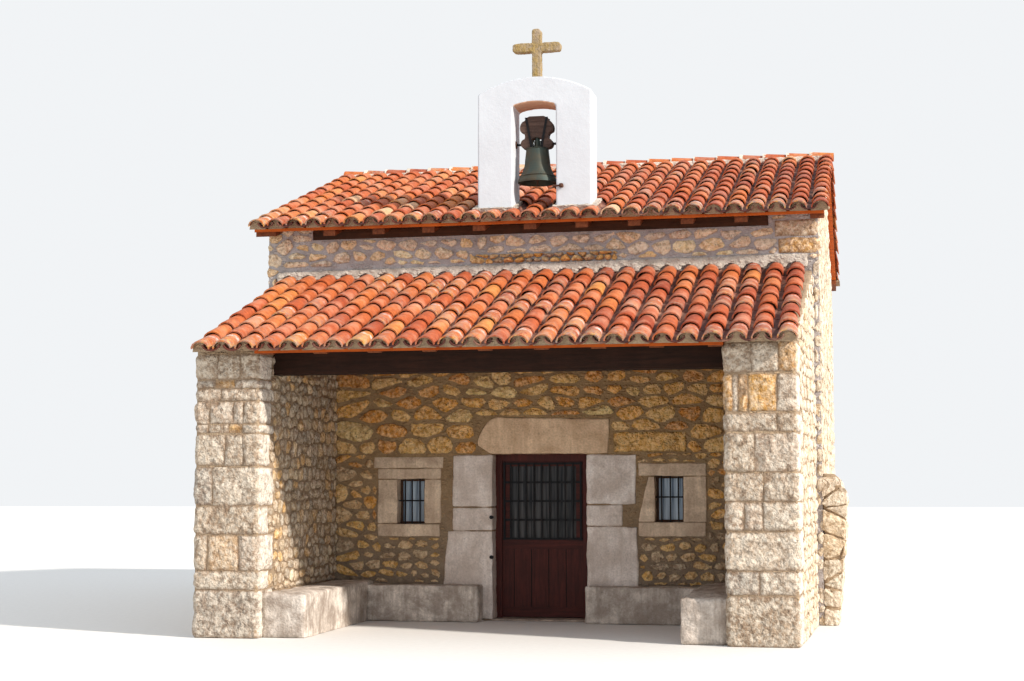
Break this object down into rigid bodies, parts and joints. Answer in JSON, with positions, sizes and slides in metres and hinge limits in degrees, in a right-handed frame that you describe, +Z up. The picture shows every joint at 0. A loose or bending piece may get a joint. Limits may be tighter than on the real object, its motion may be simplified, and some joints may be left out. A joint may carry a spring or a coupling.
{
  "type": "small chapel",
  "caption": "Small gabled stone chapel with a deep lean-to porch, stone benches, a boarded door with a grille, tiled roofs and a white bell gable with a swinging bell and a cross.",
  "frame": {"origin": "centre of the footprint of the whole box, on the ground", "axes": "+X to the right seen from the front, the front with the porch and the door faces -Y, +Z up"},
  "size_m": [6.703, 9.932, 6.762],
  "materials": {
    "rubble": "rough rubble with wide mortar joints",
    "dressed_stone": "dressed limestone, weathered",
    "bench_stone": "worn stone",
    "paving": "flagstones",
    "render_white": "limewashed render",
    "mortar": "rough mortar",
    "cross_stone": "stone with lichen",
    "tile": "curved clay tiles, weathered",
    "beam_wood": "dark stained timber",
    "board_wood": "stained boards",
    "door_wood": "red-brown varnished wood",
    "window_wood": "dark painted wood",
    "glass": "clear glass",
    "iron": "black painted iron",
    "bronze": "bronze with green-grey patina",
    "yoke_wood": "weathered brown wood"
  },
  "bodies": {
    "chapel": {"wall_front_left": "rubble", "wall_front_right": "rubble", "wall_over_door": "rubble", "wall_left": "rubble", "wall_right": "rubble", "wall_back": "rubble", "porch_wall_left": "rubble", "porch_wall_right": "rubble", "buttress": "rubble", "floor": "paving", "door_sill": "paving", "door_lintel": "dressed_stone", "door_jambs_left": "dressed_stone", "door_jambs_right": "dressed_stone", "window_stones_left": "dressed_stone", "window_stones_right": "dressed_stone", "bench_front_left": "bench_stone", "bench_front_right": "bench_stone", "bench_side_left": "bench_stone", "bench_side_right": "bench_stone", "window_frames": "window_wood", "window_glass": "glass", "door_frame": "door_wood", "door_hinge_pins": "iron", "porch_beam": "beam_wood", "porch_rafters": "board_wood", "porch_deck": "board_wood", "porch_tiles": "tile", "porch_flashing": "mortar", "wall_plates": "beam_wood", "ridge_beam": "beam_wood", "main_rafters": "board_wood", "main_deck_front": "board_wood", "main_deck_back": "board_wood", "main_tiles_front": "tile", "main_tiles_back": "tile", "ridge_tiles": "tile", "bell_gable": "render_white", "cross": "cross_stone", "bell_bearings": "iron", "rope_hook": "iron"},
    "door": {"door_leaf": "door_wood", "door_glass": "glass", "door_grille": "iron", "door_hinge_leaves": "iron"},
    "bell": {"bell": "bronze", "bell_yoke": "yoke_wood", "bell_yoke_irons": "iron"},
    "clapper": {"bell_clapper": "iron"}
  },
  "joints": [
    {"name": "door_hinge", "type": "hinge", "parent": "chapel", "child": "door", "pos_m": [0.4675, -1.913, 0], "axis": [0, 0, -1], "range_deg": [0, 90]},
    {"name": "bell_swing", "type": "hinge", "parent": "chapel", "child": "bell", "pos_m": [-0.0515, -1.974, 5.418], "axis": [1, 0, 0], "range_deg": [-60, 60]},
    {"name": "clapper_swing", "type": "hinge", "parent": "bell", "child": "clapper", "pos_m": [-0.0515, -1.974, 5.323], "axis": [1, 0, 0], "range_deg": [-20, 20]}
  ]
}
